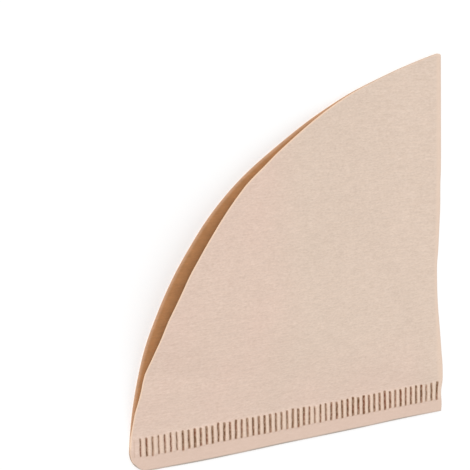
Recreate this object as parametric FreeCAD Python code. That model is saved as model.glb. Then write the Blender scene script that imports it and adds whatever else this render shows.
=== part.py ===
import FreeCAD, Part
import math
import os

# A cone coffee filter, folded flat: one sheet of paper, doubled along its fold and crimped
# shut along its seam. It lies on its back ply, and the front ply bows up where the mouth opens.
# All sizes are in millimetres and degrees.

# Flat outline: the fold and the seam meet square at the tip corner, and the rim joins their ends
fold_length = 120.0
rim_fall_at_fold = 11.6
upper_rim_radius = 188.4
upper_rim_turn = 23.0
lower_rim_radius = 110.3
fold_top_rounding = 1.2
seam_end_rounding = 6.5

# Paper, and the space left between the plies where they lie together
paper_thickness = 0.25
ply_gap = 0.2

# Crimped seam: plain margin, then the crimps, then a pressed lip where the plies part
seam_margin = 4.4
crimp_length = 6.4
lip_width = 0.5
crimp_pitch = 2.095
first_crimp_inset = 1.97
last_crimp_inset = 3.0
crimp_groove_width = 0.6
crimp_groove_depth = 0.3
crimp_ridge_height = 0.35
crimp_hollow_height = 0.4

# Opening of the mouth, 100 mm out from the tip, at angles measured from the seam to the fold
mouth_reach = 100.0
mouth_opening = [
    (0.0, 0.0),
    (7.0, 2.6),
    (15.0, 5.5),
    (23.0, 7.7),
    (33.0, 7.0),
    (44.0, 4.8),
    (56.0, 3.1),
    (64.0, 1.4),
    (71.0, 0.3),
    (80.0, 0.0),
    (90.0, 0.0),
]
mouth_strips = 40

# Helpers for cutting: how far tools run past the paper, and the small stand-off at the fold
overrun = 8.0
fold_trim_clearance = 0.05
tip_patch_radius = 1.0

closed_height = 2 * paper_thickness + ply_gap
fold_bend_radius = closed_height / 2
crimps_bottom = seam_margin
crimps_top = seam_margin + crimp_length
pocket_bottom = crimps_top + lip_width
Z_UP = FreeCAD.Vector(0, 0, 1)


def point(x, y, z=0.0):
    return FreeCAD.Vector(x, y, z)


def polar(centre, radius, degrees):
    angle = math.radians(degrees)
    return centre + point(radius * math.cos(angle), radius * math.sin(angle))


def arc(start, middle, end):
    return Part.Arc(start, middle, end).toShape()


def line(start, end):
    return Part.LineSegment(start, end).toShape()


def arc_about(centre, radius, start, end):
    """The short arc from start to end about centre."""
    middle = (start - centre).normalize() + (end - centre).normalize()
    return arc(start, centre + middle.normalize() * radius, end)


def box(x_low, x_high, y_low, y_high, z_low, z_high):
    return Part.makeBox(
        x_high - x_low, y_high - y_low, z_high - z_low, point(x_low, y_low, z_low)
    )


def rim_circles():
    """Centres of the upper and lower rim arcs, and the point where one runs into the other."""
    start_angle = 90 + rim_fall_at_fold
    join_angle = start_angle + upper_rim_turn
    upper_centre = polar(point(0, fold_length), -upper_rim_radius, start_angle)
    join = polar(upper_centre, upper_rim_radius, join_angle)
    lower_centre = polar(join, -lower_rim_radius, join_angle)
    return upper_centre, lower_centre, join


def outline_face():
    """The cut outline of both plies, with its fold side standing just clear of the fold."""
    upper_centre, lower_centre, join = rim_circles()
    # rounding where the rim meets the fold
    side = fold_trim_clearance
    top_reach = upper_rim_radius - fold_top_rounding
    top_x = side - fold_top_rounding
    top_y = upper_centre.y + math.sqrt(top_reach**2 - (top_x - upper_centre.x) ** 2)
    top_centre = point(top_x, top_y)
    top_on_fold = point(side, top_y)
    top_on_rim = upper_centre + (top_centre - upper_centre).normalize() * upper_rim_radius
    # rounding where the rim meets the seam
    end_reach = lower_rim_radius - seam_end_rounding
    end_y = seam_end_rounding
    end_x = lower_centre.x - math.sqrt(end_reach**2 - (end_y - lower_centre.y) ** 2)
    end_centre = point(end_x, end_y)
    end_on_seam = point(end_x, 0)
    end_on_rim = lower_centre + (end_centre - lower_centre).normalize() * lower_rim_radius
    edges = [
        line(point(side, 0), top_on_fold),
        arc_about(top_centre, fold_top_rounding, top_on_fold, top_on_rim),
        arc_about(upper_centre, upper_rim_radius, top_on_rim, join),
        arc_about(lower_centre, lower_rim_radius, join, end_on_rim),
        arc_about(end_centre, seam_end_rounding, end_on_rim, end_on_seam),
        line(end_on_seam, point(side, 0)),
    ]
    return Part.Face(Part.Wire(edges))


def seam_length():
    lower_centre = rim_circles()[1]
    return math.sqrt(lower_rim_radius**2 - lower_centre.y**2) - lower_centre.x


def crimp_places():
    """Distances of the crimp grooves from the fold."""
    crimped_run = seam_length() - first_crimp_inset - last_crimp_inset
    count = int(crimped_run / crimp_pitch) + 1
    return [first_crimp_inset + crimp_pitch * i for i in range(count)]


def front_ply(reach):
    """The bowed front ply above the lip, in strips that run straight from the tip to the rim."""
    tip = point(-fold_bend_radius, pocket_bottom, paper_thickness + ply_gap)
    stations = []
    for degrees, opening in mouth_opening:
        on_radius = polar(tip, -reach, -degrees)
        stations.append(on_radius + Z_UP * (opening * reach / mouth_reach))
    curve = Part.BSplineCurve()
    curve.interpolate(stations)
    outer = curve.discretize(Number=mouth_strips + 1)
    inner = [tip + (place - tip) * (tip_patch_radius / reach) for place in outer]
    strips = []
    for i in range(mouth_strips):
        corners = [inner[i], outer[i], outer[i + 1], inner[i + 1], inner[i]]
        strip = Part.Face(Part.makePolygon(corners))
        strips.append(strip.extrude(Z_UP * paper_thickness))
    return strips


def fold_bend(y_low, y_high):
    """The round of the fold, an arch of paper joining the two plies."""
    centre = point(-fold_bend_radius, y_low, fold_bend_radius)
    along = point(0, y_high - y_low)
    outer = Part.makeCylinder(fold_bend_radius, along.Length, centre, along)
    inner = Part.makeCylinder(ply_gap / 2, along.Length, centre, along)
    outer_half = box(-fold_bend_radius, overrun, y_low, y_high, 0, closed_height)
    return outer.cut(inner).common(outer_half)


def crimps():
    """The pressed corrugations: narrow grooves on top, and a hollow under each ridge."""
    half_groove = crimp_groove_width / 2
    floor_height = closed_height - crimp_groove_depth
    ridge_top = closed_height + crimp_ridge_height
    places = crimp_places()
    edges = []
    for place in places:
        right = point(half_groove - place, crimps_bottom, closed_height)
        left = point(-half_groove - place, crimps_bottom, closed_height)
        floor = point(-place, crimps_bottom, floor_height)
        edges.append(line(right, floor))
        edges.append(line(floor, left))
        if place is not places[-1]:
            next_right = left - point(crimp_pitch - crimp_groove_width, 0)
            crest = (left + next_right) / 2
            crest.z = ridge_top
            edges.append(arc(left, crest, next_right))
    under_right = point(half_groove - places[0], crimps_bottom, 0)
    under_left = point(-half_groove - places[-1], crimps_bottom, 0)
    edges.append(line(left, under_left))
    for place in reversed(places):
        right = point(half_groove - place, crimps_bottom, 0)
        edges.append(line(point(-half_groove - place, crimps_bottom, 0), right))
        if place is not places[0]:
            next_left = right + point(crimp_pitch - crimp_groove_width, 0)
            hollow = (right + next_left) / 2
            hollow.z = crimp_hollow_height
            edges.append(arc(right, hollow, next_left))
    edges.append(line(under_right, under_right + Z_UP * closed_height))
    profile = Part.Face(Part.Wire(edges))
    return profile.extrude(point(0, crimp_length))


def crimp_bed(x_low):
    """The strip that the crimps stand in, with the room for them cut out."""
    places = crimp_places()
    half_groove = crimp_groove_width / 2
    strip = box(x_low, -fold_bend_radius, crimps_bottom, crimps_top, 0, closed_height)
    room = box(
        -places[-1] - half_groove,
        half_groove - places[0],
        crimps_bottom,
        crimps_top,
        0,
        closed_height,
    )
    return strip.cut(room)


def filter_paper():
    outline = outline_face()
    x_low = outline.BoundBox.XMin - overrun
    y_high = outline.BoundBox.YMax + overrun
    x_high = -fold_bend_radius
    front_low = paper_thickness + ply_gap
    margin_top = seam_margin - lip_width
    tip_patch = Part.makeCylinder(
        tip_patch_radius + lip_width, closed_height, point(x_high, pocket_bottom)
    )
    pieces = [
        box(x_low, x_high, crimps_top, y_high, 0, paper_thickness),
        box(x_low, x_high, -overrun, crimps_bottom, 0, paper_thickness),
        box(x_low, x_high, -overrun, margin_top, front_low, closed_height),
        box(x_low, x_high, margin_top, crimps_bottom, 0, closed_height),
        box(x_low, x_high, crimps_top, pocket_bottom, 0, closed_height),
        tip_patch.common(box(x_low, x_high, pocket_bottom, y_high, 0, closed_height)),
        fold_bend(-overrun, y_high),
        crimp_bed(x_low),
        crimps(),
    ]
    pieces += front_ply(math.hypot(x_low, y_high))
    sheet = pieces[0].multiFuse(pieces[1:])
    highest = sheet.BoundBox.ZMax + overrun
    cutter = outline.extrude(point(0, 0, highest + overrun))
    cutter.translate(point(0, 0, -overrun))
    paper = sheet.common(cutter).removeSplitter()
    # the origin is under the middle of the sheet
    across = outline.BoundBox.XMin / 2
    along = outline.BoundBox.YMax / 2
    paper.translate(point(-across, -along))
    return paper


os.makedirs("parts", exist_ok=True)
shape = filter_paper()
print("solids", len(shape.Solids), "valid", shape.isValid(), "volume", round(shape.Volume, 1))
shape.exportStep("parts/filter_paper.step")
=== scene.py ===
import math
import random

import bpy
import numpy as np
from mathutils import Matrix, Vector


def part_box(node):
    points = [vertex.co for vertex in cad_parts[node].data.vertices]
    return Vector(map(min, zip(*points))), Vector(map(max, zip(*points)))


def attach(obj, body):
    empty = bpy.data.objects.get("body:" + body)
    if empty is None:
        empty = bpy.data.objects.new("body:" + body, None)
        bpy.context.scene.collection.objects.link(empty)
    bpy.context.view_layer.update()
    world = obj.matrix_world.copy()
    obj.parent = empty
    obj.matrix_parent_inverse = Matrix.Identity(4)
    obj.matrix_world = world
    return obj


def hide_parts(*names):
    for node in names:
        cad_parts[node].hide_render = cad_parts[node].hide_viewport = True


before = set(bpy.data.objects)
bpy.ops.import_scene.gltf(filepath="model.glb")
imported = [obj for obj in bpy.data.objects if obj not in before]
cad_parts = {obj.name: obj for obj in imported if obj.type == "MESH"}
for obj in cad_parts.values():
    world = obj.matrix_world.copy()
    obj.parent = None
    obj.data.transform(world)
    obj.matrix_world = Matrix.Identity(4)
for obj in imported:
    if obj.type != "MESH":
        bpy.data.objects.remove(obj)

bl_info = {
    "name": "Folded Cone Filter",
    "version": (1, 0, 0),
    "blender": (4, 5, 0),
    "location": "3D View > Sidebar > Filter",
    "description": "Models a paper cone coffee filter, folded flat, and sets it up for a picture",
    "category": "Add Mesh",
}

MM = 0.001
NODE = "filter_paper"
LOWEST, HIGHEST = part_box(NODE)
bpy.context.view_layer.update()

# The sheet is laid out flat in steps before it is folded. These count the steps.
BAND_STEPS = 5  # from the seam's cut edge to the lip, where the plies part
CUTS = 3  # each step of the band is cut this many times
FOLD_STEPS = 8  # round the fold, from one ply to the other

# Heights of the band's fine rows above the seam's edge, in millimetres
BAND_ROWS = [0.0, 0.12, 0.45, 1.0, 1.75, 2.7, 3.7, 4.2, 4.5, 4.75, 5.1, 5.9, 6.8, 7.7, 8.6,
             9.5, 10.2, 10.5, 10.75, 10.95, 11.3]
# Directions of the pocket's columns, in degrees from the seam to the fold
RAYS = [1.25 * i for i in range(71)] + [88.2, 88.7, 89.1, 89.4, 89.6, 89.8, 90.0]
# Distances of the last rows from the rim, in millimetres
ROWS_AT_RIM = [1.2, 0.4, 0.0]


class FilterOutline(bpy.types.PropertyGroup):
    """Flat outline of the folded filter."""

    fold_length: bpy.props.FloatProperty(
        name="Fold length", description="From the tip to the rim, along the fold",
        default=120 * MM, unit="LENGTH", precision=5)
    rim_fall_at_fold: bpy.props.FloatProperty(
        name="Rim fall at fold", description="How steeply the rim leaves the fold",
        default=math.radians(11.6), subtype="ANGLE")
    upper_rim_radius: bpy.props.FloatProperty(
        name="Upper rim radius", description="Radius of the rim's arc next to the fold",
        default=188.4 * MM, unit="LENGTH", precision=5)
    upper_rim_turn: bpy.props.FloatProperty(
        name="Upper rim turn", description="How far the upper arc turns",
        default=math.radians(23.0), subtype="ANGLE")
    lower_rim_radius: bpy.props.FloatProperty(
        name="Lower rim radius", description="Radius of the rim's arc next to the seam",
        default=110.3 * MM, unit="LENGTH", precision=5)
    fold_top_rounding: bpy.props.FloatProperty(
        name="Fold top rounding", description="Radius where the rim meets the fold",
        default=1.2 * MM, unit="LENGTH", precision=5)
    seam_end_rounding: bpy.props.FloatProperty(
        name="Seam end rounding", description="Radius where the rim meets the seam",
        default=6.5 * MM, unit="LENGTH", precision=5)


class FilterPaper(bpy.types.PropertyGroup):
    """Thickness and colours of the paper, some of them painted highlight and shade."""

    thickness: bpy.props.FloatProperty(
        name="Thickness", description="Thickness of the paper",
        default=0.25 * MM, unit="LENGTH", precision=5)
    closed_height: bpy.props.FloatProperty(
        name="Closed height", description="Height of both plies where they lie together",
        default=0.7 * MM, unit="LENGTH", precision=5)
    face: bpy.props.FloatVectorProperty(
        name="Face", description="Colour of the paper's outer face",
        default=(0.729, 0.582, 0.479), subtype="COLOR", min=0, max=1)
    face_light: bpy.props.FloatVectorProperty(
        name="Light patches", description="Colour of the lighter clouds in the paper",
        default=(0.765, 0.61, 0.505), subtype="COLOR", min=0, max=1)
    face_pink: bpy.props.FloatVectorProperty(
        name="Pink patches", description="Colour of the pinker clouds, low down and far out",
        default=(0.773, 0.578, 0.483), subtype="COLOR", min=0, max=1)
    # painted shade: the inside's colours are the paper's tone darkened and browned, as by shadow
    # and by light bounced within the mouth, a little paler next to the rim
    inner: bpy.props.FloatVectorProperty(
        name="Inside", description="Colour deep inside the mouth",
        default=(0.56, 0.285, 0.125), subtype="COLOR", min=0, max=1)
    inner_rim_painted_shade: bpy.props.FloatVectorProperty(
        name="Inside, at rim", description="Colour of the inside next to the rim",
        default=(0.72, 0.44, 0.27), subtype="COLOR", min=0, max=1)
    # painted highlight: the cut edge catching the light, brighter and more peach than the face;
    # the face takes it too along the rim
    cut_edge_painted_light: bpy.props.FloatVectorProperty(
        name="Cut edge", description="Colour of the paper's cut edge",
        default=(0.95, 0.7, 0.52), subtype="COLOR", min=0, max=1)
    # the grooves' colours are partly pressed brown and partly painted shade in the narrow grooves
    groove: bpy.props.FloatVectorProperty(
        name="Grooves", description="Colour pressed into the crimps' grooves",
        default=(0.13, 0.048, 0.011), subtype="COLOR", min=0, max=1)
    groove_red_and_shade: bpy.props.FloatVectorProperty(
        name="Red grooves", description="Colour of the redder grooves",
        default=(0.175, 0.05, 0.018), subtype="COLOR", min=0, max=1)


class FilterSeam(bpy.types.PropertyGroup):
    """Crimped seam."""

    margin: bpy.props.FloatProperty(
        name="Margin", description="Plain paper outside the crimps",
        default=4.4 * MM, unit="LENGTH", precision=5)
    crimp_length: bpy.props.FloatProperty(
        name="Crimp length", description="Length of each pressed groove",
        default=6.4 * MM, unit="LENGTH", precision=5)
    lip: bpy.props.FloatProperty(
        name="Lip", description="Pressed strip between the crimps and the pocket",
        default=0.5 * MM, unit="LENGTH", precision=5)
    pitch: bpy.props.FloatProperty(
        name="Pitch", description="Distance from one groove to the next",
        default=2.095 * MM, unit="LENGTH", precision=6)
    first_inset: bpy.props.FloatProperty(
        name="First groove", description="Distance of the first groove from the fold",
        default=1.97 * MM, unit="LENGTH", precision=5)
    crimps: bpy.props.IntProperty(
        name="Crimps", description="Number of grooves", default=54, min=2)
    groove_width: bpy.props.FloatProperty(
        name="Groove width", description="Width of a groove",
        default=0.6 * MM, unit="LENGTH", precision=5)
    groove_depth: bpy.props.FloatProperty(
        name="Groove depth", description="Depth of a groove, which brings the plies together",
        default=0.2 * MM, unit="LENGTH", precision=5)
    ridge_height: bpy.props.FloatProperty(
        name="Ridge height", description="Height of the ridges between the grooves",
        default=0.35 * MM, unit="LENGTH", precision=5)
    seed: bpy.props.IntProperty(
        name="Seed", description="Choice of the grooves' small differences", default=11)


class FilterMouth(bpy.types.PropertyGroup):
    """Bow of the front ply, and the unevenness of handled paper."""

    reach: bpy.props.FloatProperty(
        name="Reach", description="Distance from the tip at which the bow is given",
        default=100 * MM, unit="LENGTH", precision=5)
    bow: bpy.props.FloatProperty(
        name="Bow", description="Height of the front ply's bow there, 23 degrees from the seam",
        default=7.7 * MM, unit="LENGTH", precision=5)
    rim_ripple: bpy.props.FloatProperty(
        name="Rim ripple", description="Height of the small waves along the rim",
        default=0.1 * MM, unit="LENGTH", precision=6)
    unevenness: bpy.props.FloatProperty(
        name="Unevenness", description="How much of the straying of fold, seam and rim is kept",
        default=1.0, min=0, max=1, subtype="FACTOR")


class FilterStage(bpy.types.PropertyGroup):
    """Camera, light and floor."""

    camera_place: bpy.props.FloatVectorProperty(
        name="Camera place", description="Where the camera stands, from the tip corner",
        default=(-0.35473, 0.17169, 0.47131), subtype="XYZ", unit="LENGTH", precision=5)
    camera_turn: bpy.props.FloatVectorProperty(
        name="Camera turn", description="How the camera is turned",
        default=tuple(math.radians(a) for a in (-9.8837, -30.6775, -1.514)), subtype="EULER")
    lens: bpy.props.FloatProperty(
        name="Lens", description="Focal length in millimetres, on a 36 mm sensor",
        default=139.4, min=1)
    key_from: bpy.props.FloatVectorProperty(
        name="Key light from", description="Direction that the key light comes from",
        default=(-0.45, 0.34, 0.83), subtype="DIRECTION")
    key_spread: bpy.props.FloatProperty(
        name="Key light spread", description="How wide the key light looks, which softens shadows",
        default=math.radians(20), subtype="ANGLE")
    key_share: bpy.props.FloatProperty(
        name="Key light share", description="Share of the light that comes from the key light",
        default=0.4, min=0, max=1, subtype="FACTOR")
    level: bpy.props.FloatProperty(
        name="Light level", description="At 1, a surface facing up looks as its colour is written",
        default=1.0, min=0)


GROUPS = {
    "filter_outline": FilterOutline,
    "filter_sheet": FilterPaper,
    "filter_seam": FilterSeam,
    "filter_mouth": FilterMouth,
    "filter_stage": FilterStage,
}

# Bow of the front ply as a share of its height at 23 degrees, at degrees from the seam to the fold
BOW_SHARES = [(0, 0), (7, 0.338), (15, 0.714), (19, 0.89), (23, 1.0), (26, 1.018), (29, 0.992),
              (33, 0.909), (38, 0.775), (44, 0.623), (50, 0.515), (56, 0.402), (60, 0.295),
              (64, 0.182), (67.5, 0.097), (71, 0.039), (75, 0.007), (80, 0), (90, 0)]
# How far the fold strays from a straight line, at distances from the tip, in millimetres
FOLD_STRAY = [(0, 0.18), (1.2, 0.3), (2.2, 0.38), (3.7, 0.32), (7, 0.16), (11, 0.8), (16, 0.78),
              (20, 0.42), (27, -0.17), (35, -0.93), (41, -1.3), (46, -1.4), (50.5, -1.36),
              (55, -0.92), (60, -0.6), (65, -0.3), (70, -0.04), (77, 0.02), (82, 0.26),
              (100, 0.32), (120, 0.32)]
# How far the seam's cut edge strays, at distances from the fold, in millimetres
SEAM_STRAY = [(0, 0.33), (16, 0.33), (31, 0.1), (46, 0), (62, -0.05), (78, -0.27), (94, -0.32),
              (108, -0.05), (120, 0)]
# How far the rim strays outwards, at degrees from the seam to the fold, in millimetres: first both
# plies near the fold, then the back ply alone
RIM_STRAY = [(0, 0), (62, 0), (68, -0.06), (74, -0.28), (78, -0.42), (84, -0.5), (90, -0.38)]
BACK_RIM_STRAY = [(0, 0), (9, 0.04), (14, 0.14), (19, -0.06), (24, -0.12), (30, 0), (37, 0.1),
                  (44, 0.16), (50, 0), (56, -0.2), (62, -0.06), (68, 0), (90, 0)]
# Height of the front ply's waves at the rim, at degrees from the seam to the fold, in millimetres
RIM_WAVES = [(0, 0), (2, 0), (3.3, -0.3), (5.5, 0.05), (7, 0), (8.3, -0.45), (9.5, -1.0),
             (10.8, -0.65), (12.1, -0.14), (13.4, 0.16), (14.7, 0.39), (16, 0.48), (17.4, 0.2),
             (18.7, -0.05), (21, 0.05), (24, -0.08), (25.6, -0.3), (27, -0.3), (28.5, -0.1),
             (31, 0.12), (34, 0.3), (37, 0.27), (40, 0.1), (42, 0), (44, -0.18), (45.6, 0),
             (47.5, 0.28), (49.4, 0.3), (51.5, 0.03), (90, 0)]

# Outline
FOLD_CLEARANCE = 0.05 * MM  # how far the cut outline stands clear of the fold
ARC_POINTS = (40, 300, 500, 60)  # points along the rim's four arcs, from the fold to the seam
FAR_END_HEIGHT = 30 * MM  # the far end's side is read from the rim below this height
FOLD_STRAY_WIDTH = 5 * MM  # how far in from the fold the plies stray with it
END_EDGE_HEIGHT = 3 * MM  # up to here the far end's rim looks like the seam's cut edge

# Columns of the band. Out to the two places given here they stand straight, and past them they
# follow the rounded far end.
EDGE_HELD_TO = 100 * MM  # at the cut edge, from the fold
HELD_PAST_CRIMPS = 0.3 * MM  # at the crimps, from the last groove
LEAD_SHARES = (0.16, 0.32, 0.42, 0.5)  # before the first groove, as shares of the way to it
RIDGE_COLUMN = 0.62 * MM  # from the middle of a groove to the column on the rise of its ridge

# Grooves
LOWER_FADE = 0.5 * MM  # length over which a groove grows at its lower end
EARLY_START = 0.15 * MM  # how far below that end it begins
UPPER_FADE = 0.55 * MM  # length over which it shrinks at its upper end
MID_GROOVE = 0.6  # share of its half width up to which a point is in its middle
GROOVE_SIDE = 1.05  # and up to which a point is on its side
FLOOR_POWER = 0.8  # how round its floor is
SWAY_REACH = 0.7  # share of the way to a ridge's crest over which the sway dies away
FAINT_GROOVE = 0.2  # darkening of the groove that hardly took, past the last full one: pressed brown and painted shade, with no dent
FAINT_GROOVE_REACH = 0.5 * MM  # its half width
WHOLE_WAVE = 6.283  # radians in a whole wave
PHASE_RANGE = 6.28  # and in the range that a random phase is drawn from

# Small waves along the rim
RIPPLE_COUNT = 7  # how many are added up
RIPPLE_SUM = 2.2  # what their sum is divided by
RIPPLE_START = 6  # degrees over which they grow from the seam
RIPPLE_END = 86  # degrees at which they end near the fold
RIPPLE_END_FADE = 10  # degrees over which they shrink there
RIM_WOBBLE = 0.0007  # share of the reach by which they move the rim out and in
WOBBLE_FROM = 0.8  # share of the reach past which they do so
FULL_RIPPLE_GAP = 2 * MM  # how far open the mouth is where they are full
BACK_RIPPLE = 0.4  # share of their height that the back ply takes

# Finish of the mesh
MERGE_DISTANCE = 0.015 * MM  # points nearer together become one, as at the cone's tip
SLIVER = 0.001 * MM
SMOOTH_ANGLE = math.radians(50)

# What is kept for each point: how dark a groove makes it, as pressed brown and painted shade, and
# how high it lies on a ridge, from 0 to about 1, and its distances from the rim, the seam's cut
# edge and the fold, in millimetres
READINGS = ("groove", "ridge", "to_rim", "to_seam", "to_fold")

# Colours of the small marks on the paper: painted highlights on the fold and the ridges, painted
# shadow along the seam's cut edge and on the low cut edge, and the grooves' warm brown, partly
# pressed and partly painted shade
FOLD_HIGHLIGHT = (0.8, 0.62, 0.5)
RIDGE_HIGHLIGHT = (0.85, 0.66, 0.5)
SEAM_TINT = (0.71, 0.525, 0.43)
CUT_SHADE = (0.38, 0.33, 0.285)
GROOVE_WARM_AND_SHADE = (0.5, 0.29, 0.15)
BARK_SPECK = (0.3, 0.19, 0.12)
LOW_EDGE_SHADOW = (0.42, 0.31, 0.24)

# Stage
FLOOR_WHITE = (0.88, 0.88, 0.88)
FLOOR_GLOW = 0.16  # brings the lit floor up to full white where it is seen
FLOOR_SIZE = 4.0
FLOOR_DROP = 0.05 * MM  # how far it lies below the filter
SENSOR_WIDTH = 36
NEAREST_SEEN = 0.01


def read_table(table, value):
    """Reads a table of pairs along a smooth curve through them."""
    places = [pair[0] for pair in table]
    heights = [pair[1] for pair in table]
    if value <= places[0]:
        return heights[0]
    if value >= places[-1]:
        return heights[-1]
    i = next(n for n in range(len(places) - 1) if value <= places[n + 1])

    def slope(n):
        before, after = max(n - 1, 0), min(n + 1, len(places) - 1)
        return (heights[after] - heights[before]) / (places[after] - places[before])

    step = places[i + 1] - places[i]
    t = (value - places[i]) / step
    return (
        heights[i] * (1 + 2 * t) * (1 - t) ** 2
        + heights[i + 1] * t * t * (3 - 2 * t)
        + slope(i) * step * t * (1 - t) ** 2
        - slope(i + 1) * step * t * t * (1 - t)
    )


def ease(value):
    """Eases from 0 to 1, and stays there on both sides."""
    value = min(max(value, 0.0), 1.0)
    return value * value * (3 - 2 * value)


def circle_points(centre, radius, start, end, count):
    """Points along an arc, with its angles in radians."""
    angles = np.linspace(start, end, count)
    return np.stack([centre[0] + radius * np.cos(angles), centre[1] + radius * np.sin(angles)], 1)


def angle_from(centre, place):
    return math.atan2(place[1] - centre[1], place[0] - centre[0])


class FilterShape:
    """Where each point of the flat paper comes to lie. Plan sizes count from the tip corner, with
    the fold along x = 0, the paper at x below 0 and the seam along y = 0."""

    def __init__(self, scene):
        self.outline = scene.filter_outline
        self.paper = scene.filter_sheet
        self.seam = scene.filter_seam
        self.mouth = scene.filter_mouth
        self.bend = self.paper.closed_height / 2
        self.half_groove = self.seam.groove_width / 2
        self.lip_height = self.seam.margin + self.seam.crimp_length + self.seam.lip
        self.crimps_top = self.seam.margin + self.seam.crimp_length
        self.places = [
            self.seam.first_inset + self.seam.pitch * i for i in range(self.seam.crimps)
        ]
        self.trace_rim()
        self.choose_crimps()
        self.space_columns()
        rng = random.Random(self.seam.seed + 1)
        self.ripples = [
            (rng.uniform(7, 34), rng.uniform(0, PHASE_RANGE), rng.uniform(0.3, 1.0))
            for _ in range(RIPPLE_COUNT)
        ]

    def trace_rim(self):
        """The cut outline, from the fold round to the seam."""
        o = self.outline
        start = math.pi / 2 + o.rim_fall_at_fold
        join = start + o.upper_rim_turn
        upper = np.array([0, o.fold_length]) - o.upper_rim_radius * np.array(
            [math.cos(start), math.sin(start)])
        turn = np.array([math.cos(join), math.sin(join)])
        lower = upper + (o.upper_rim_radius - o.lower_rim_radius) * turn
        r = o.fold_top_rounding
        x = FOLD_CLEARANCE - r
        self.top_centre = np.array(
            [x, upper[1] + math.sqrt((o.upper_rim_radius - r) ** 2 - (x - upper[0]) ** 2)])
        s = o.seam_end_rounding
        x = lower[0] - math.sqrt((o.lower_rim_radius - s) ** 2 - (s - lower[1]) ** 2)
        end_centre = np.array([x, s])
        top_angle = angle_from(upper, self.top_centre)
        end_angle = angle_from(lower, end_centre) % (2 * math.pi)
        self.rim = np.concatenate([
            circle_points(self.top_centre, r, 0, top_angle, ARC_POINTS[0]),
            circle_points(upper, o.upper_rim_radius, top_angle, join, ARC_POINTS[1])[1:],
            circle_points(lower, o.lower_rim_radius, join, end_angle, ARC_POINTS[2])[1:],
            circle_points(end_centre, s, end_angle, 1.5 * math.pi, ARC_POINTS[3])[1:],
        ])
        across = -self.rim[:, 0] - self.bend
        above = self.rim[:, 1] - self.lip_height
        self.rim_angles = np.degrees(np.arctan2(above, across))
        self.rim_reaches = np.hypot(across, above)

    def rim_reach(self, degrees):
        """From the cone's tip to the rim, in one direction."""
        return float(np.interp(-degrees, -self.rim_angles, self.rim_reaches))

    def rim_side(self, height):
        """From the fold to the rim at the far end, at one height above the seam."""
        low = self.rim[:, 1] < FAR_END_HEIGHT
        side = self.rim[low][::-1]
        return float(-np.interp(height, side[:, 1], side[:, 0]))

    def fold_top(self, x):
        """Height of the rim where it rounds over the fold."""
        r = self.outline.fold_top_rounding
        return float(self.top_centre[1] + math.sqrt(r * r - (x - self.top_centre[0]) ** 2))

    def choose_crimps(self):
        """Small differences between the grooves, and between the ridges."""
        rng = random.Random(self.seam.seed)
        self.crimp_looks = []
        for place in self.places:
            # the grooves get a little finer towards the far end
            fine = 1 - 0.2 * ease((place / MM - 88) / 20)
            self.crimp_looks.append({
                "depth": rng.uniform(0.7, 1.0),
                "width": rng.uniform(0.72, 1.12) * fine,
                "tone": rng.uniform(0.68, 1.1),
                "soft": rng.uniform(0.45, 0.95) * fine**2,
                "ridge": rng.uniform(0.72, 1.0),
                "lean": rng.gauss(0, 0.014),
                "wave": rng.uniform(0.01, 0.075) * MM,
                "wave_length": rng.uniform(2.2, 4.5) * MM,
                "phase": rng.uniform(0, PHASE_RANGE),
                "low": rng.gauss(0, 0.1) * MM,
                "high": rng.gauss(0, 0.14) * MM,
            })

    def space_columns(self):
        """Distances of the seam's fine columns from the fold, crowded at the grooves."""
        half = self.seam.pitch / 2
        near = [0.25 * self.seam.groove_width, 0.5 * self.seam.groove_width, RIDGE_COLUMN]
        columns = [self.bend]
        lead = self.places[0] - self.bend
        columns += [self.bend + lead * share for share in LEAD_SHARES]
        columns += [self.places[0] - d for d in (near[2], near[1], near[0], 0)]
        for place, following in zip(self.places, self.places[1:]):
            columns += [place + d for d in near] + [place + half]
            columns += [following - d for d in reversed(near)] + [following]
        self.last_place = self.places[-1]
        end = self.rim_side(self.lip_height)
        past = self.last_place + (end - self.last_place) / 4
        coarse = [past] + [end - d * MM for d in ROWS_AT_RIM]
        columns += [self.last_place + d for d in near] + [past]
        for low, high in zip(coarse, coarse[1:]):
            columns += [low + (high - low) * share for share in (0.25, 0.5, 0.75, 1)]
        self.columns = columns
        self.straight_end = end
        self.rows = columns[:: CUTS + 1]

    def stray(self, distance, height):
        """Sideways shift that the fold's unevenness gives a point near it."""
        share = max(0.0, 1 - distance / FOLD_STRAY_WIDTH) ** 2
        return self.mouth.unevenness * share * MM * read_table(FOLD_STRAY, height / MM)

    def seam_shift(self, distance, height):
        """Shift that the seam's uneven cut gives a point of the margin."""
        share = 1 - ease(height / self.seam.margin)
        return self.mouth.unevenness * share * MM * read_table(SEAM_STRAY, distance / MM)

    def rim_shift(self, degrees, share, front):
        """Outward shift that the uneven rim gives a point near it."""
        amount = read_table(RIM_STRAY, degrees)
        if not front:
            amount += read_table(BACK_RIM_STRAY, degrees)
        return self.mouth.unevenness * share**6 * MM * amount

    def along_band(self, column, height):
        """How far a point of the band is from the fold, and from the rim past it."""
        distance = self.columns[column]
        held_at_crimps = self.last_place + HELD_PAST_CRIMPS
        held = EDGE_HELD_TO + (held_at_crimps - EDGE_HELD_TO) * ease(height / self.seam.margin)
        end = self.rim_side(height)
        if distance > held:
            share = (distance - held) / (self.straight_end - held)
            distance = held + share * (end - held)
        return distance, end - distance

    def groove_sway(self, look, off, height):
        """Sideways shift of a point with its groove, which leans and waves, as the next don't."""
        follow = 1 - ease((abs(off) - self.half_groove) / (SWAY_REACH * self.seam.pitch / 2))
        middle = self.seam.margin + look["low"] + self.seam.crimp_length / 2
        wave = look["wave"] * math.sin(WHOLE_WAVE * height / look["wave_length"] + look["phase"])
        return (look["lean"] * (height - middle) + wave) * follow

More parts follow.
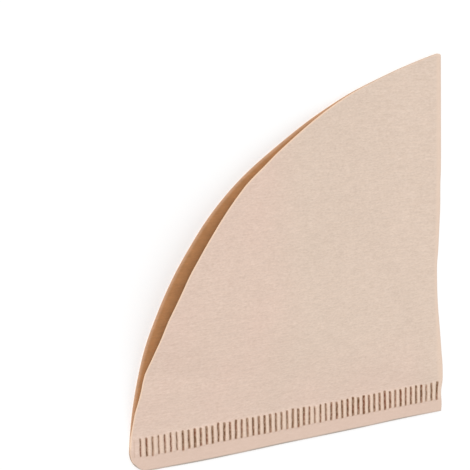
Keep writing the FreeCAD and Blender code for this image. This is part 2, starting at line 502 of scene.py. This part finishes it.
    def groove_brown_and_shade(self, look, off, distance):
        """How dark a point is made, as pressed brown and painted shade: full in the groove's
        middle and softer on its sides.
        """
        tone = 0.0
        if abs(off) < MID_GROOVE * self.half_groove:
            tone = look["tone"]
        elif abs(off) < GROOVE_SIDE * self.half_groove:
            tone = look["tone"] * look["soft"]
        beyond = abs(distance - self.last_place - self.seam.pitch)
        return tone + FAINT_GROOVE * max(0.0, 1 - beyond / FAINT_GROOVE_REACH)

    def ridge_lift(self, along, off):
        """How high a point lies on the round of its ridge, from 0 to 1."""
        between = math.floor(along)
        if between < 0 or between >= len(self.places) - 1:
            return 0.0
        up = (abs(off) - self.half_groove) / (self.seam.pitch / 2 - self.half_groove)
        up = min(1.0, max(0.0, up))
        return self.crimp_looks[between]["ridge"] * (1 - (1 - up) ** 2)

    def band_point(self, column, row, front):
        """A point of the seam's band, and its readings."""
        height = BAND_ROWS[row] * MM
        distance, to_rim = self.along_band(column, height)
        to_seam = min(height, to_rim + max(0.0, height - END_EDGE_HEIGHT))
        along = (self.columns[column] - self.places[0]) / self.seam.pitch
        nearest = min(max(round(along), 0), len(self.places) - 1)
        look = self.crimp_looks[nearest]
        off = self.columns[column] - self.places[nearest]
        above_start = height - self.seam.margin - look["low"]
        below_stop = self.crimps_top + look["high"] - height
        run = min(ease((above_start + EARLY_START) / LOWER_FADE), ease(below_stop / UPPER_FADE))
        distance += self.groove_sway(look, off, height) * run
        if abs(off) < GROOVE_SIDE * self.half_groove:
            distance += off * (look["width"] - 1)
        tone = self.groove_brown_and_shade(look, off, distance) * run
        lift = self.ridge_lift(along, off) * run
        z = self.seam.ridge_height * lift
        if front:
            pressed = max(0.0, 1 - abs(off) / self.half_groove) ** FLOOR_POWER
            z += self.paper.closed_height
            z -= self.seam.groove_depth * look["depth"] * pressed * run
        x = -distance + self.stray(distance - self.bend, height)
        y = height + self.seam_shift(distance, height)
        to_fold = distance - self.bend
        return (x, y, z), (tone, lift, to_rim / MM, to_seam / MM, to_fold / MM)

    def pocket_point(self, row, degrees, front):
        """A point of the pocket, on the straight line from the cone's tip to the rim, and its
        readings."""
        share = (self.rows[row] - self.bend) / (self.straight_end - self.bend)
        reach = self.rim_reach(degrees)
        wobble = self.ripple(degrees, 0 if front else 3)
        at_rim = ease((share - WOBBLE_FROM) / (1 - WOBBLE_FROM))
        distance = share * reach * (1 + RIM_WOBBLE * wobble * at_rim)
        distance += self.rim_shift(degrees, share, front)
        across = distance * math.cos(math.radians(degrees))
        height = self.lip_height + distance * math.sin(math.radians(degrees))
        gap = read_table(BOW_SHARES, degrees) * self.mouth.bow * distance / self.mouth.reach
        ripple = self.mouth.rim_ripple * wobble * share**4 * min(1.0, gap / FULL_RIPPLE_GAP)
        if front:
            wave = self.mouth.unevenness * read_table(RIM_WAVES, degrees) * share**5 * MM
            z = self.paper.closed_height + gap + ripple + wave
        else:
            z = BACK_RIPPLE * abs(ripple)
        x = -self.bend - across + self.stray(across, height)
        to_rim = (1 - share) * reach
        return (x, height, z), (0.0, 0.0, to_rim / MM, height / MM, across / MM)

    def ripple(self, degrees, shift):
        """Uneven waves along the rim, which fade at the seam and at the fold."""
        total = sum(
            size * math.sin(math.radians(degrees) * count + phase + shift * count)
            for count, phase, size in self.ripples
        )
        fade = ease(degrees / RIPPLE_START) * ease((RIPPLE_END - degrees) / RIPPLE_END_FADE)
        return total / RIPPLE_SUM * fade

    def fold_point(self, row, step):
        """A point round the fold, from the front ply over to the back ply, and its readings."""
        turn = math.pi * step / FOLD_STEPS
        x = -self.bend + self.bend * math.sin(turn)
        z = self.bend + self.bend * math.cos(turn)
        fine = len(BAND_ROWS) - 1
        if row <= fine:
            height = BAND_ROWS[row] * MM
            level = height
            to_rim = self.fold_top(x) - height
        else:
            share = (self.rows[row - fine] - self.bend) / (self.straight_end - self.bend)
            level = self.lip_height + share * self.rim_reach(90)
            top = self.fold_top(x) - self.lip_height
            height = self.lip_height + share * top + self.rim_shift(90, share, True)
            to_rim = (1 - share) * top
        x += self.stray(0, level)
        height += self.seam_shift(self.bend, level)
        # round the bend, the distance from the fold is kept as less than nothing
        return (x, height, z), (0.0, 0.0, to_rim / MM, height / MM, -math.sin(turn))


def flat_ply(name, long_steps):
    """One ply as a flat grid of steps: x runs along the seam and y from the seam to the fold."""
    steps_up = BAND_STEPS + len(RAYS) - 1
    bpy.ops.object.select_all(action="DESELECT")
    bpy.ops.mesh.primitive_grid_add(
        x_subdivisions=long_steps, y_subdivisions=steps_up, size=1, location=(0, 0, 0))
    ply = bpy.context.object
    ply.name = name
    for vertex in ply.data.vertices:
        vertex.co.x = round((vertex.co.x + 0.5) * long_steps)
        vertex.co.y = round((vertex.co.y + 0.5) * steps_up)
    # the band at the seam is cut finer, for the crimps
    bpy.ops.object.mode_set(mode="EDIT")
    bpy.ops.mesh.select_all(action="DESELECT")
    bpy.ops.object.mode_set(mode="OBJECT")
    for face in ply.data.polygons:
        face.select = face.center.y < BAND_STEPS
    bpy.ops.object.mode_set(mode="EDIT")
    bpy.ops.mesh.select_mode(type="FACE")
    bpy.ops.mesh.subdivide(number_cuts=CUTS, ngon=False)
    bpy.ops.object.mode_set(mode="OBJECT")
    return ply


def put_in_place(piece, point_of):
    """Moves each point of a flat grid to where the fold puts it, and keeps what it is near."""
    kept = []
    for vertex in piece.data.vertices:
        (x, y, z), readings = point_of(vertex.co.x, vertex.co.y)
        vertex.co = (x + HIGHEST.x, y + LOWEST.y, z)
        kept.append(readings)
    for name, values in zip(READINGS, zip(*kept)):
        attribute = piece.data.attributes.new(name, "FLOAT", "POINT")
        attribute.data.foreach_set("value", values)
    piece.data.update()


def fold_up(shape):
    """The whole folded sheet as one thin skin: front ply, back ply and the fold between them."""
    long_steps = len(shape.rows) - 1
    front = flat_ply("front_ply", long_steps)
    bpy.ops.object.duplicate()
    back = bpy.context.object
    back.name = "back_ply"

    def ply_point(is_front):
        def point_of(along, up):
            if up <= BAND_STEPS + 0.01:
                column = round(along * (CUTS + 1))
                row = round(up * (CUTS + 1))
                return shape.band_point(column, row, is_front)
            return shape.pocket_point(round(along), RAYS[round(up) - BAND_STEPS], is_front)
        return point_of

    put_in_place(front, ply_point(True))
    put_in_place(back, ply_point(False))
    bpy.ops.object.select_all(action="DESELECT")
    front.select_set(True)
    bpy.context.view_layer.objects.active = front
    bpy.ops.object.mode_set(mode="EDIT")
    bpy.ops.mesh.select_all(action="SELECT")
    bpy.ops.mesh.flip_normals()
    bpy.ops.object.mode_set(mode="OBJECT")

    bpy.ops.object.select_all(action="DESELECT")
    fold_rows = len(BAND_ROWS) - 1 + long_steps
    bpy.ops.mesh.primitive_grid_add(
        x_subdivisions=FOLD_STEPS, y_subdivisions=fold_rows, size=1, location=(0, 0, 0))
    fold = bpy.context.object
    fold.name = "fold"
    put_in_place(fold, lambda across, up: shape.fold_point(
        round((up + 0.5) * fold_rows), round((across + 0.5) * FOLD_STEPS)))

    for piece in (front, back):
        piece.select_set(True)
    bpy.context.view_layer.objects.active = front
    bpy.ops.object.join()
    sheet = bpy.context.object
    sheet.name = sheet.data.name = "filter_sheet"
    bpy.ops.object.mode_set(mode="EDIT")
    bpy.ops.mesh.select_mode(type="VERT")
    bpy.ops.mesh.select_all(action="SELECT")
    bpy.ops.mesh.remove_doubles(threshold=MERGE_DISTANCE)
    bpy.ops.mesh.dissolve_degenerate(threshold=SLIVER)
    bpy.ops.object.mode_set(mode="OBJECT")
    return sheet


def new_material(name):
    """A material with only a shader and an output."""
    material = bpy.data.materials.new(name)
    material.use_nodes = True
    nodes = material.node_tree.nodes
    nodes.clear()
    output = nodes.new("ShaderNodeOutputMaterial")
    shader = nodes.new("ShaderNodeBsdfPrincipled")
    material.node_tree.links.new(shader.outputs["BSDF"], output.inputs["Surface"])
    return material, shader


class Graph:
    """Short ways to add the nodes of one material."""

    def __init__(self, material):
        self.tree = material.node_tree
        self.place = self.add("ShaderNodeTexCoord").outputs["Object"]

    def add(self, kind):
        return self.tree.nodes.new(kind)

    def connect(self, socket, value):
        if isinstance(value, bpy.types.NodeSocket):
            self.tree.links.new(value, socket)
        elif hasattr(value, "__len__") and len(value) == 3 and socket.type == "RGBA":
            socket.default_value = (*value, 1)
        else:
            socket.default_value = value

    def noise(self, scale, detail=2.0, roughness=0.5, stretch=None, turn=0.0):
        """Cloudy pattern with patches about 1/scale metres wide, from 0 to 1."""
        place = self.place
        if stretch:
            mapping = self.add("ShaderNodeMapping")
            self.connect(mapping.inputs["Vector"], place)
            mapping.vector_type = "TEXTURE"
            mapping.inputs["Rotation"].default_value = (0, 0, turn)
            mapping.inputs["Scale"].default_value = stretch
            place = mapping.outputs["Vector"]
        texture = self.add("ShaderNodeTexNoise")
        self.connect(texture.inputs["Vector"], place)
        texture.inputs["Scale"].default_value = scale
        texture.inputs["Detail"].default_value = detail
        texture.inputs["Roughness"].default_value = roughness
        return texture.outputs["Fac"]

    def math(self, operation, first, second):
        node = self.add("ShaderNodeMath")
        node.operation = operation
        self.connect(node.inputs[0], first)
        self.connect(node.inputs[1], second)
        return node.outputs[0]

    def times(self, first, second):
        return self.math("MULTIPLY", first, second)

    def fit(self, value, low, high, new_low=0.0, new_high=1.0, smooth=True):
        """Value carried over from one range to another, and kept within it."""
        node = self.add("ShaderNodeMapRange")
        node.interpolation_type = "SMOOTHSTEP" if smooth else "LINEAR"
        for name, number in (("Value", value), ("From Min", low), ("From Max", high),
                             ("To Min", new_low), ("To Max", new_high)):
            self.connect(node.inputs[name], number)
        return node.outputs["Result"]

    def near(self, reading, *ranges):
        """A kept reading, such as the distance from the rim, carried over by fit."""
        node = self.add("ShaderNodeAttribute")
        node.attribute_name = reading
        return self.fit(node.outputs["Fac"], *ranges)

    def mix(self, factor, first, second):
        node = self.add("ShaderNodeMix")
        node.data_type = "RGBA"
        self.connect(node.inputs[0], factor)
        self.connect(node.inputs[6], first)
        self.connect(node.inputs[7], second)
        return node.outputs[2]

    def shade(self, colour, factor):
        """Colour times a brightness that varies about 1."""
        node = self.add("ShaderNodeVectorMath")
        node.operation = "SCALE"
        self.connect(node.inputs[0], colour)
        self.connect(node.inputs["Scale"], factor)
        return node.outputs[0]

    def lift(self, colour, amount):
        """Colour with a grey added that varies about 0."""
        node = self.add("ShaderNodeVectorMath")
        node.operation = "ADD"
        self.connect(node.inputs[0], colour)
        self.connect(node.inputs[1], amount)
        return node.outputs[0]

    def relief(self, *layers):
        """Bumps of several patterns, each with its height and its strength."""
        normal = None
        for pattern, height, strength in layers:
            node = self.add("ShaderNodeBump")
            self.connect(node.inputs["Height"], pattern)
            node.inputs["Distance"].default_value = height
            node.inputs["Strength"].default_value = strength
            if normal:
                self.connect(node.inputs["Normal"], normal)
            normal = node.outputs["Normal"]
        return normal

    def dress(self, shader, colour, sheen, roughness, normal):
        """Gives a shader its colour, sheen, roughness and relief."""
        for name, value in (("Base Color", colour), ("Specular IOR Level", sheen),
                            ("Roughness", roughness), ("Normal", normal)):
            self.connect(shader.inputs[name], value)


def paper_grain(graph):
    """Crepe lines and fibres of the paper, which its tone and its bumps share."""
    turn = math.radians(-1)
    crepe = graph.noise(1900, 2, 0.5, (9, 1, 1), turn)
    felt = graph.noise(2300, 2, 0.6, (2.3, 1, 1), turn)
    fibre = graph.noise(5200, 2, 0.5)
    return crepe, felt, fibre


def clouds(graph, paper):
    """Tone of the plain paper: soft clouds, pinker ones low down and far out."""
    cloud = graph.fit(graph.noise(38, 3), 0.35, 0.65)
    colour = graph.mix(graph.times(cloud, 0.3), paper.face, paper.face_light)
    far_out = graph.near("to_fold", 52, 74, 0.0, 0.8)
    low_down = graph.near("to_seam", 10, 36, 0.65, 0.0)
    low_down = graph.times(low_down, graph.near("to_fold", 3, 15, 0.15, 1.0))
    patch = graph.fit(graph.noise(45, 3), 0.3, 0.7, 0.6, 1.0)
    pink = graph.times(graph.math("MAXIMUM", far_out, low_down), patch)
    return graph.mix(pink, colour, paper.face_pink)


def with_grain(graph, colour, crepe, felt, fibre):
    """Small mottles, crepe lines and fibres over the paper's tone."""
    mottle = graph.fit(graph.noise(330, 4, 0.6), 0.32, 0.68)
    colour = graph.shade(colour, graph.fit(mottle, 0, 1, 0.988, 1.012, False))
    colour = graph.shade(colour, graph.fit(crepe, 0.3, 0.7, 0.965, 1.035, False))
    colour = graph.lift(colour, graph.fit(felt, 0.28, 0.72, -0.049, 0.049, False))
    return graph.shade(colour, graph.fit(fibre, 0.3, 0.7, 0.98, 1.02, False))


def with_edges(graph, colour, paper):
    """Painted highlights make the rounded fold, the rim and the ridges look a little lighter; the
    margin and the crimps look a little darker, with a painted shadow along the seam's cut edge."""
    # painted highlight where the fold rounds over
    colour = graph.mix(graph.near("to_fold", 0.9, 2.1, 0.75, 0.0), colour, FOLD_HIGHLIGHT)
    # painted highlight on the face along the rim, weaker near the fold
    rim_highlight = graph.near("to_rim", 0.1, 0.55, 0.9, 0.0)
    rim_highlight = graph.times(rim_highlight, graph.near("to_fold", 18, 45, 0.3, 1.0))
    colour = graph.mix(rim_highlight, colour, paper.cut_edge_painted_light)
    # painted highlight on the ridges, strongest on their crests
    colour = graph.mix(graph.near("ridge", 0.1, 0.9, 0.0, 0.35), colour, RIDGE_HIGHLIGHT)
    colour = graph.mix(graph.near("to_seam", 4.3, 5.6, 0.62, 0.0), colour, SEAM_TINT)
    # a thin shade where the seam was cut, weaker at the tip
    cut_shade = graph.near("to_seam", 0.12, 0.6, 1.0, 0.0)
    cut_shade = graph.times(cut_shade, graph.fit(graph.noise(90), 0.35, 0.6, 0.6, 1.0))
    cut_shade = graph.times(cut_shade, graph.near("to_fold", 2, 18, 0.4, 1.0))
    return graph.mix(cut_shade, colour, CUT_SHADE)


def with_grooves(graph, colour, paper):
    """Grooves of the crimps, darkened brown, partly pressed into the paper and partly painted
    shade in the narrow grooves; some redder, and broken by the paper's grain.
    """
    red = graph.fit(graph.noise(240, 1), 0.5, 0.62)
    brown = graph.mix(red, paper.groove, paper.groove_red_and_shade)
    broken = graph.fit(graph.noise(1500, 2, 0.6, (1, 1.6, 1)), 0.34, 0.6, 0.56, 1.0)
    # warm brown in the grooves, partly pressed and partly painted shade
    colour = graph.mix(graph.near("groove", 0.05, 0.6, 0.0, 0.5, False), colour, GROOVE_WARM_AND_SHADE)
    # pressed brown and painted shade together, as strong as the groove reading
    pressed = graph.near("groove", 0.05, 0.9, 0.0, 0.93, False)
    return graph.mix(graph.times(pressed, broken), colour, brown)


def outer_face(paper):
    material, shader = new_material("unbleached_face")
    graph = Graph(material)
    crepe, felt, fibre = paper_grain(graph)
    colour = with_grain(graph, clouds(graph, paper), crepe, felt, fibre)
    colour = with_grooves(graph, with_edges(graph, colour, paper), paper)
    # a few dark specks of bark
    speck = graph.fit(graph.noise(900, 2, 0.8), 0.775, 0.81, 0.0, 0.6)
    colour = graph.mix(speck, colour, BARK_SPECK)
    roughness = graph.fit(felt, 0.3, 0.7, 0.82, 0.95, False)
    normal = graph.relief(
        (crepe, 0.06 * MM, 0.5), (felt, 0.03 * MM, 0.4), (fibre, 0.012 * MM, 0.4))
    graph.dress(shader, colour, 0.25, roughness, normal)
    return material


# The inside of both plies, in painted shade
def inside_painted_shade(paper):
    material, shader = new_material("unbleached_inside_painted_shade")
    graph = Graph(material)
    crepe, felt, fibre = paper_grain(graph)
    colour = graph.mix(graph.near("to_rim", 0.2, 1.3), paper.inner_rim_painted_shade, paper.inner)
    # painted shade, darker deeper into the mouth
    colour = graph.shade(colour, graph.near("to_rim", 1.0, 5.0, 1.0, 0.84))
    colour = graph.shade(colour, graph.fit(graph.noise(300, 4, 0.6), 0.3, 0.7, 0.93, 1.06, False))
    colour = graph.shade(colour, graph.fit(crepe, 0.3, 0.7, 0.95, 1.04, False))
    colour = graph.shade(colour, graph.fit(felt, 0.3, 0.7, 0.96, 1.03, False))
    roughness = graph.fit(felt, 0.3, 0.7, 0.85, 0.97, False)
    normal = graph.relief((crepe, 0.06 * MM, 0.5), (fibre, 0.015 * MM, 0.4))
    graph.dress(shader, colour, 0.2, roughness, normal)
    return material


def cut_edge_painted_light(paper):
    material, shader = new_material("unbleached_cut_edge")
    graph = Graph(material)
    fibre = graph.noise(5200, 3, 0.7)
    from_fold = graph.near("to_fold", 18, 45, 0.7, 0.0)
    patch = graph.fit(graph.noise(260), 0.35, 0.65, 0.0, 0.45)
    plain = graph.math("MAXIMUM", from_fold, patch)
    # the cut edge's peach is a painted highlight, which gives way to the face's colour near the
    # fold and in patches
    colour = graph.mix(plain, paper.cut_edge_painted_light, paper.face)
    # painted shadow on the cut edge low down, near the seam
    colour = graph.mix(graph.near("to_seam", 2.0, 6.0, 0.75, 0.0), colour, LOW_EDGE_SHADOW)
    colour = graph.shade(colour, graph.fit(fibre, 0.3, 0.7, 0.9, 1.03, False))
    roughness = graph.fit(fibre, 0.3, 0.7, 0.88, 1.0, False)
    graph.dress(shader, colour, 0.2, roughness, graph.relief((fibre, 0.05 * MM, 0.6)))
    return material


def floor_material():
    """A white floor that keeps the object's shadow, and looks white where the light is full."""
    material, shader = new_material("white_floor")
    tree = material.node_tree
    graph = Graph(material)
    grain = graph.noise(900, 3, 0.6)
    graph.dress(shader, FLOOR_WHITE, 0.0, 0.9, graph.relief((grain, 0.01 * MM, 0.2)))
    glow = graph.add("ShaderNodeEmission")
    graph.connect(glow.inputs["Strength"], graph.times(seen_ray(graph), FLOOR_GLOW))
    both = graph.add("ShaderNodeAddShader")
    tree.links.new(shader.outputs["BSDF"], both.inputs[0])
    tree.links.new(glow.outputs["Emission"], both.inputs[1])
    output = next(n for n in tree.nodes if n.type == "OUTPUT_MATERIAL")
    tree.links.new(both.outputs["Shader"], output.inputs["Surface"])
    return material


def seen_ray(graph):
    """1 for rays that end in the eye: straight, by a reflection or through glass."""
    path = graph.add("ShaderNodeLightPath")
    seen = graph.math("MAXIMUM", path.outputs["Is Camera Ray"], path.outputs["Is Glossy Ray"])
    return graph.math("MAXIMUM", seen, path.outputs["Is Transmission Ray"])


def soft_room(strength):
    """Even white light from all round, which itself looks white."""
    world = bpy.data.worlds.new("soft_room")
    world.use_nodes = True
    graph = Graph(world)
    background = world.node_tree.nodes["Background"]
    background.inputs["Color"].default_value = (1, 1, 1, 1)
    graph.connect(
        background.inputs["Strength"], graph.fit(seen_ray(graph), 0, 1, strength, 1, False))
    return world


class FILTER_OT_sheet(bpy.types.Operator):
    """Model the folded filter: lay out both plies, fold and crimp them, and give them thickness"""

    bl_idname = "cone_filter.sheet"
    bl_label = "Folded Sheet"
    bl_options = {"REGISTER", "UNDO"}

    def execute(self, context):
        scene = context.scene
        shape = FilterShape(scene)
        sheet = fold_up(shape)
        for material in (outer_face, inside_painted_shade, cut_edge_painted_light):
            sheet.data.materials.append(material(scene.filter_sheet))
        thicken = sheet.modifiers.new("paper thickness", "SOLIDIFY")
        thicken.thickness = scene.filter_sheet.thickness
        thicken.offset = -1
        thicken.use_rim = True
        thicken.use_even_offset = False
        thicken.material_offset = 1
        thicken.material_offset_rim = 2
        bpy.ops.object.modifier_apply(modifier=thicken.name)
        bpy.ops.object.shade_smooth_by_angle(angle=SMOOTH_ANGLE)
        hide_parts(NODE)
        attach(sheet, "root")
        return {"FINISHED"}


class FILTER_OT_stage(bpy.types.Operator):
    """Set up the camera, the soft light and the white floor"""

    bl_idname = "cone_filter.stage"
    bl_label = "Stage"
    bl_options = {"REGISTER", "UNDO"}

    def execute(self, context):
        scene = context.scene
        stage = scene.filter_stage
        bpy.ops.object.select_all(action="DESELECT")
        bpy.ops.mesh.primitive_plane_add(size=FLOOR_SIZE, location=(0, 0, -FLOOR_DROP))
        floor = context.object
        floor.name = "floor"
        floor.data.materials.append(floor_material())

        place = Vector(stage.camera_place) + Vector((HIGHEST.x, LOWEST.y, 0))
        bpy.ops.object.camera_add(location=place, rotation=stage.camera_turn)
        camera = context.object
        camera.name = "camera"
        camera.data.sensor_width = SENSOR_WIDTH
        camera.data.lens = stage.lens
        camera.data.clip_start = NEAREST_SEEN
        scene.camera = camera

        away = Vector(stage.key_from).normalized()
        bpy.ops.object.light_add(
            type="SUN", location=away, rotation=away.to_track_quat("Z", "Y").to_euler())
        key = context.object
        key.name = "key_light"
        key.data.angle = stage.key_spread
        key.data.energy = stage.key_share * stage.level * math.pi / away.z

        scene.world = soft_room((1 - stage.key_share) * stage.level)
        scene.view_settings.view_transform = "Standard"
        return {"FINISHED"}


class FILTER_PT_panel(bpy.types.Panel):
    """Sizes, colours and steps of the folded filter"""

    bl_idname = "FILTER_PT_panel"
    bl_label = "Folded Cone Filter"
    bl_space_type = "VIEW_3D"
    bl_region_type = "UI"
    bl_category = "Filter"

    def draw(self, context):
        layout = self.layout
        for name, group in GROUPS.items():
            box = layout.box()
            box.label(text=group.bl_rna.description or name)
            values = getattr(context.scene, name)
            for key in group.__annotations__:
                box.prop(values, key)
        layout.operator(FILTER_OT_sheet.bl_idname)
        layout.operator(FILTER_OT_stage.bl_idname)


CLASSES = (*GROUPS.values(), FILTER_OT_sheet, FILTER_OT_stage, FILTER_PT_panel)


def register():
    for cls in CLASSES:
        bpy.utils.register_class(cls)
    for name, group in GROUPS.items():
        setattr(bpy.types.Scene, name, bpy.props.PointerProperty(type=group))


def unregister():
    for name in GROUPS:
        delattr(bpy.types.Scene, name)
    for cls in reversed(CLASSES):
        bpy.utils.unregister_class(cls)


def main():
    register()
    bpy.ops.cone_filter.sheet()
    bpy.ops.cone_filter.stage()


if __name__ == "__main__":
    main()
